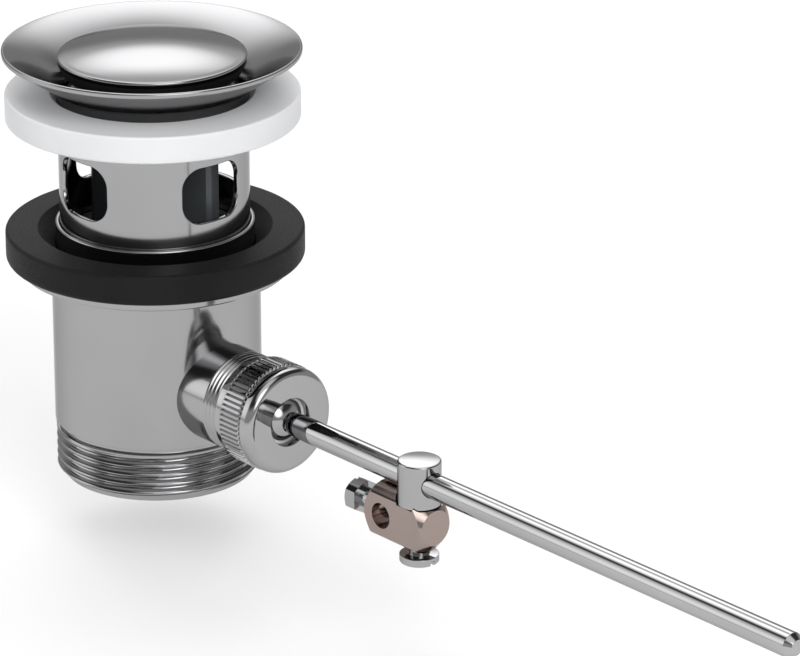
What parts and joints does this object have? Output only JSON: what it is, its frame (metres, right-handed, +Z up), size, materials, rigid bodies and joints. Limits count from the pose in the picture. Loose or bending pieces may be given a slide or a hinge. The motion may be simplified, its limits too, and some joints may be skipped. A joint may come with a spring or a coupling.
{
  "type": "pop up basin waste",
  "caption": "Pop up basin waste: flanged overflow cup with lifting plug, sealing rings, threaded tail and a ball pivoted lever rod with clamp.",
  "frame": {"origin": "on the waste's axis in the plane of the basin's surface, at the white washer's underside", "axes": "+Z up along the waste's axis, +X along the lever away from the waste, +Y across"},
  "size_m": [0.2115, 0.0604, 0.0907],
  "materials": {
    "chrome": "bright chromium plate on brass",
    "steel_rod": "bright plated steel rod",
    "nickel": "warm toned nickel plate",
    "white_plastic": "moulded white polyethylene",
    "black_rubber": "moulded black rubber",
    "dark_plastic": "moulded dark grey plastic"
  },
  "bodies": {
    "waste": {"waste_cup": "chrome", "white_washer": "white_plastic", "black_gasket": "black_rubber", "waste_body": "chrome", "cup_end_seal": "black_rubber", "inner_ball_seat": "white_plastic", "ball_seal": "black_rubber", "outer_ball_seat": "white_plastic", "coupling_nut": "chrome"},
    "lever": {"pivot_ball": "chrome", "lever_rod": "steel_rod", "inner_arm": "steel_rod"},
    "plug": {"plug_cap": "chrome", "plug_seal": "black_rubber", "plug_guide": "dark_plastic", "plug_stem": "nickel", "plug_lock_nut": "nickel"},
    "stud": {"clamp_stud": "chrome"},
    "stud_screw": {"stud_screw": "chrome"},
    "block": {"clamp_block": "nickel"},
    "rod_screw": {"lift_rod_screw": "chrome"}
  },
  "joints": [
    {"name": "lever_tilt", "type": "hinge", "parent": "waste", "child": "lever", "pos_m": [0.0363, 0, -0.0534], "axis": [0, 1, 0], "range_deg": [-6.9, 6.33]},
    {"name": "plug_lift", "type": "slide", "parent": "waste", "child": "plug", "axis": [0, 0, 1], "range_m": [-0.00436, 0.004]},
    {"name": "clamp_slide", "type": "slide", "parent": "lever", "child": "stud", "axis": [1, 0, 0], "range_m": [-0.017, 0.095]},
    {"name": "stud_screw_turn", "type": "hinge", "parent": "stud", "child": "stud_screw", "pos_m": [0.0801, 0, -0.0688], "axis": [0, 0, 1], "range_deg": [-450, 0]},
    {"name": "block_swivel", "type": "hinge", "parent": "stud", "child": "block", "pos_m": [0.0801, 0, -0.0621], "axis": [0, 0, 1], "range_deg": [-180, 180]},
    {"name": "rod_screw_turn", "type": "hinge", "parent": "block", "child": "rod_screw", "pos_m": [0.068, 0, -0.0621], "axis": [1, 0, 0], "range_deg": [-450, 0]}
  ],
  "couplings": [
    {"joint": "lever_tilt", "follows": "plug_lift", "rad_per_m": 27.548}
  ]
}
